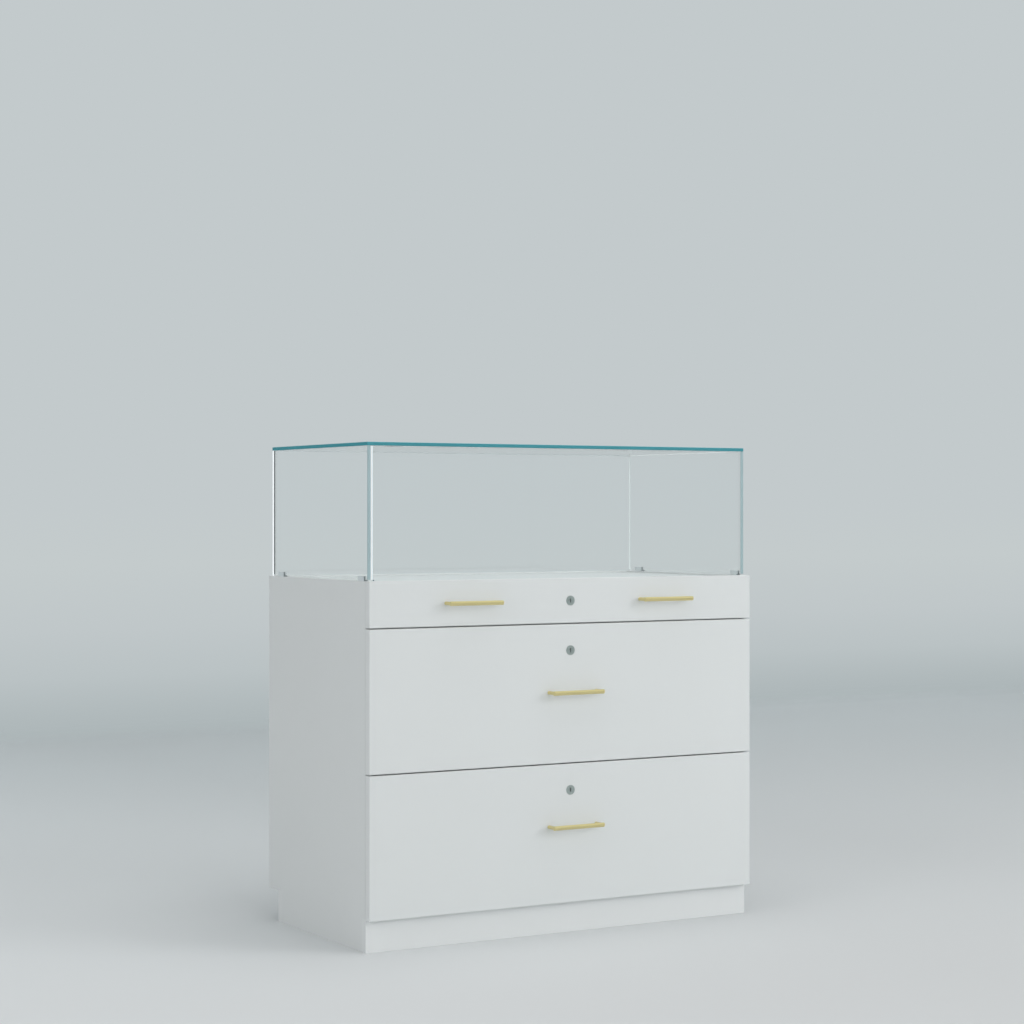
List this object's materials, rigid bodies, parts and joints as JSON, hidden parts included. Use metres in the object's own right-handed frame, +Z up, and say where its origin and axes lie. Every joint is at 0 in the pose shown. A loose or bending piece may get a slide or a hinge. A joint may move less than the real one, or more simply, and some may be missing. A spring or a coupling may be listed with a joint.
{
  "type": "glass display counter",
  "caption": "White board counter with a glass hood over a pull-out display deck, deep lockable drawers below, bar pulls and a recessed plinth.",
  "frame": {"origin": "on the floor, midway across the width and midway between the front of the pulls and the back", "axes": "+Z up, -Y towards the side where the drawers open, +X to the right of someone facing the fronts"},
  "size_m": [1, 0.552, 1.097],
  "materials": {
    "white_board": "white melamine-faced board with eased white edging, satin",
    "box_board": "plain white foil-faced drawer board, matt",
    "pane_glass": "clear float glass with flat polished edges that show blue-green",
    "clip_alloy": "grey anodised, satin",
    "clear_gasket": "clear soft plastic channel",
    "pull_brass": "satin brushed brass",
    "lock_steel": "satin nickel plate",
    "slide_steel": "zinc-plated rolled sheet",
    "screw_steel": "zinc-plated"
  },
  "bodies": {
    "cabinet": {"side_panel_left": "white_board", "side_panel_right": "white_board", "bottom_panel": "white_board", "back_panel": "white_board", "upper_front_rail": "white_board", "lower_front_rail": "white_board", "plinth_front_board": "white_board", "plinth_back_board": "white_board", "plinth_side_boards": "white_board", "plinth_corner_blocks": "box_board", "hood_left_pane": "pane_glass", "hood_right_pane": "pane_glass", "hood_back_pane": "pane_glass", "hood_top_pane": "pane_glass", "hood_clips": "clip_alloy", "deck_slide_cabinet_members": "slide_steel", "middle_slide_cabinet_members": "slide_steel", "lower_slide_cabinet_members": "slide_steel"},
    "display_deck": {"deck_front": "white_board", "deck_board": "white_board", "deck_box_sides": "box_board", "deck_box_ends": "box_board", "front_pane": "pane_glass", "front_pane_gasket": "clear_gasket", "deck_pull_bars": "pull_brass", "deck_pull_posts": "pull_brass", "deck_pull_screws": "screw_steel", "deck_lock_housing": "lock_steel", "deck_lock_nut": "lock_steel", "deck_slide_drawer_members": "slide_steel"},
    "deck_slide_centres": {"deck_slide_centre_members": "slide_steel"},
    "deck_lock": {"deck_lock_plug": "lock_steel", "deck_lock_cam": "screw_steel"},
    "middle_drawer": {"middle_front": "white_board", "middle_box_sides": "box_board", "middle_box_ends": "box_board", "middle_box_bottom": "box_board", "middle_pull_bar": "pull_brass", "middle_pull_posts": "pull_brass", "middle_pull_screws": "screw_steel", "middle_lock_housing": "lock_steel", "middle_lock_nut": "lock_steel", "middle_slide_drawer_members": "slide_steel"},
    "middle_slide_centres": {"middle_slide_centre_members": "slide_steel"},
    "middle_lock": {"middle_lock_plug": "lock_steel", "middle_lock_cam": "screw_steel"},
    "lower_drawer": {"lower_front": "white_board", "lower_box_sides": "box_board", "lower_box_ends": "box_board", "lower_box_bottom": "box_board", "lower_pull_bar": "pull_brass", "lower_pull_posts": "pull_brass", "lower_pull_screws": "screw_steel", "lower_lock_housing": "lock_steel", "lower_lock_nut": "lock_steel", "lower_slide_drawer_members": "slide_steel"},
    "lower_slide_centres": {"lower_slide_centre_members": "slide_steel"},
    "lower_lock": {"lower_lock_plug": "lock_steel", "lower_lock_cam": "screw_steel"}
  },
  "joints": [
    {"name": "deck_travel", "type": "slide", "parent": "cabinet", "child": "display_deck", "axis": [0, -1, 0], "range_m": [0, 0.45]},
    {"name": "deck_slide_centres_travel", "type": "slide", "parent": "cabinet", "child": "deck_slide_centres", "axis": [0, -1, 0], "range_m": [0, 0.225]},
    {"name": "deck_lock_turn", "type": "hinge", "parent": "display_deck", "child": "deck_lock", "pos_m": [0.004, -0.22, 0.7475], "axis": [0, 1, 0], "range_deg": [0, 90]},
    {"name": "middle_travel", "type": "slide", "parent": "cabinet", "child": "middle_drawer", "axis": [0, -1, 0], "range_m": [0, 0.45]},
    {"name": "middle_slide_centres_travel", "type": "slide", "parent": "cabinet", "child": "middle_slide_centres", "axis": [0, -1, 0], "range_m": [0, 0.225]},
    {"name": "middle_lock_turn", "type": "hinge", "parent": "middle_drawer", "child": "middle_lock", "pos_m": [0.004, -0.22, 0.636], "axis": [0, 1, 0], "range_deg": [0, 90]},
    {"name": "lower_travel", "type": "slide", "parent": "cabinet", "child": "lower_drawer", "axis": [0, -1, 0], "range_m": [0, 0.45]},
    {"name": "lower_slide_centres_travel", "type": "slide", "parent": "cabinet", "child": "lower_slide_centres", "axis": [0, -1, 0], "range_m": [0, 0.225]},
    {"name": "lower_lock_turn", "type": "hinge", "parent": "lower_drawer", "child": "lower_lock", "pos_m": [0.004, -0.22, 0.3225], "axis": [0, 1, 0], "range_deg": [0, 90]}
  ],
  "couplings": [
    {"joint": "deck_slide_centres_travel", "follows": "deck_travel", "ratio": 0.5},
    {"joint": "middle_slide_centres_travel", "follows": "middle_travel", "ratio": 0.5},
    {"joint": "lower_slide_centres_travel", "follows": "lower_travel", "ratio": 0.5}
  ]
}
